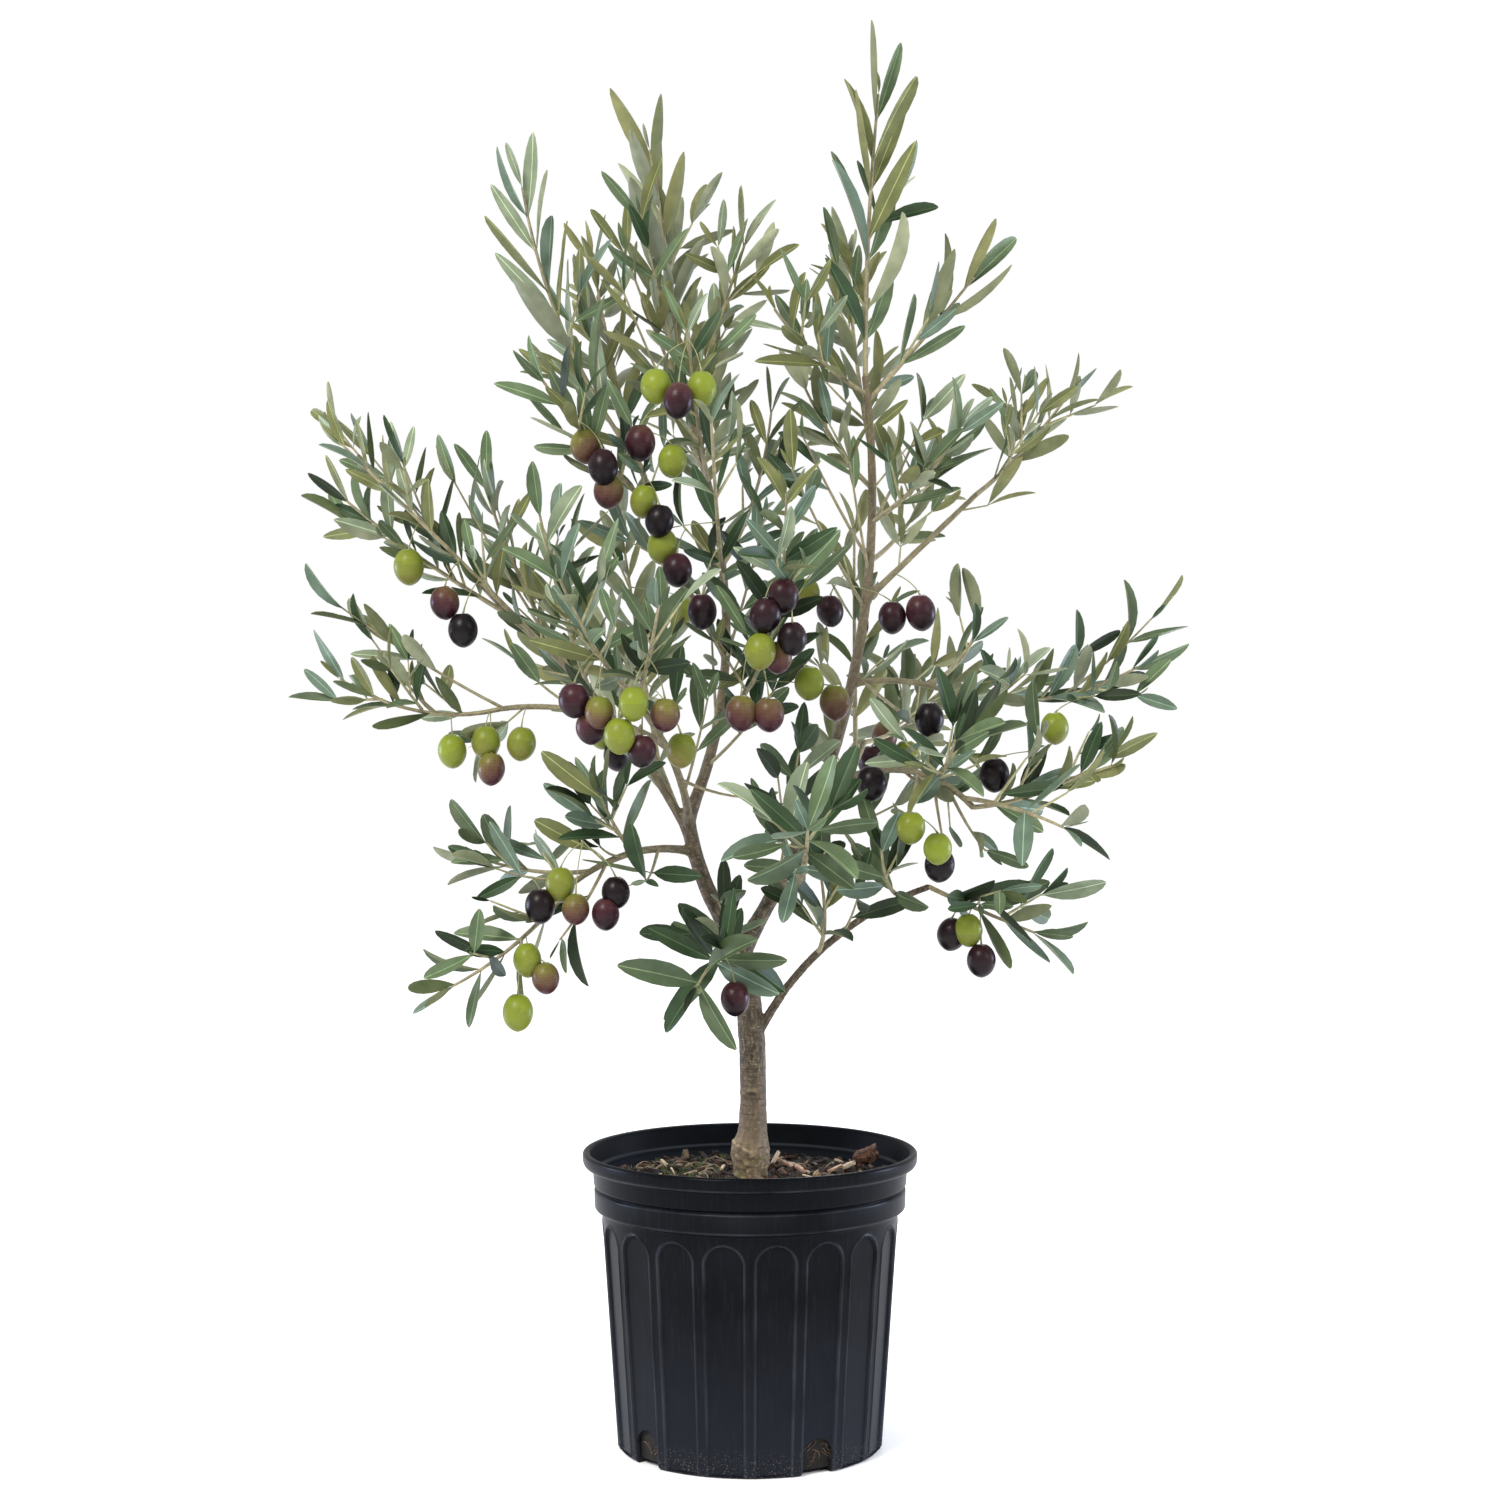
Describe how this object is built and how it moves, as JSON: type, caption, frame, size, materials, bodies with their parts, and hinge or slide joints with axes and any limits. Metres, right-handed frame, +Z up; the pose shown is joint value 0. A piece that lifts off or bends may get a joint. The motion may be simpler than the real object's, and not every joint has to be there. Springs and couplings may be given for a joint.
{
  "type": "potted olive tree",
  "caption": "Young olive tree with narrow grey-green leaves and ripening olives, grown on a slim bare trunk in a round black fluted nursery pot filled with bark soil.",
  "frame": {"origin": "centre of the flat underside of the pot, on the ground", "axes": "+Z straight up along the pot's axis; the pictured side of the tree faces -Y, with +X to the right in the picture"},
  "size_m": [0.7725, 0.5503, 1.1878],
  "materials": {
    "pot": "black moulded polypropylene with a soft sheen",
    "soil": "loose dark potting soil with bark chips, dull and rough",
    "bark": "grey-brown young bark, dull, finely cracked",
    "foliage": "leathery grey-green leaves, satin above and dull silver below"
  },
  "bodies": {
    "root": {"pot": "pot", "soil": "soil", "trunk": "bark", "bough_left": "bark", "bough_right": "bark", "bough_centre": "bark", "bough_left_top": "bark", "bough_front_left": "bark", "bough_upper_left": "bark", "bough_mid_left": "bark", "bough_lower_left": "bark", "bough_back_left": "bark", "bough_lower_right": "bark", "bough_front_centre": "bark", "bough_back_right": "bark", "bough_front_right": "bark", "bough_side_right": "bark", "bough_right_long": "bark", "leaves_leader_top": "foliage", "leaves_leader_left": "foliage", "leaves_leader_right": "foliage", "leaves_leader_back": "foliage", "leaves_right_mid": "foliage", "leaves_right_inner": "foliage", "leaves_right_long": "foliage", "leaves_right_back": "foliage", "leaves_side_right_tip": "foliage", "leaves_side_right_up": "foliage", "leaves_front_right_tip": "foliage", "leaves_front_right_low": "foliage", "leaves_front_right_up": "foliage", "leaves_lower_right_tip": "foliage", "leaves_lower_right_up": "foliage", "leaves_lower_right_in": "foliage", "leaves_front_centre": "foliage", "leaves_trunk_front": "foliage", "leaves_front_upper": "foliage", "leaves_front_upper_left": "foliage", "leaves_centre_top": "foliage", "leaves_centre_top_right": "foliage", "leaves_centre_back": "foliage", "leaves_centre_front": "foliage", "leaves_centre_right": "foliage", "leaves_left_top": "foliage", "leaves_left_top_back": "foliage", "leaves_left_top_front": "foliage", "leaves_upper_left_tip": "foliage", "leaves_upper_left_high": "foliage", "leaves_upper_left_up": "foliage", "leaves_upper_left_mid": "foliage", "leaves_front_left": "foliage", "leaves_front_left_up": "foliage", "leaves_mid_left_tip": "foliage", "leaves_lower_left_tip": "foliage", "leaves_lower_left_up": "foliage", "leaves_lower_left_in": "foliage", "leaves_back_left": "foliage", "leaves_back_left_up": "foliage", "leaves_back_right": "foliage", "leaves_back_right_up": "foliage"}
  },
  "joints": []
}
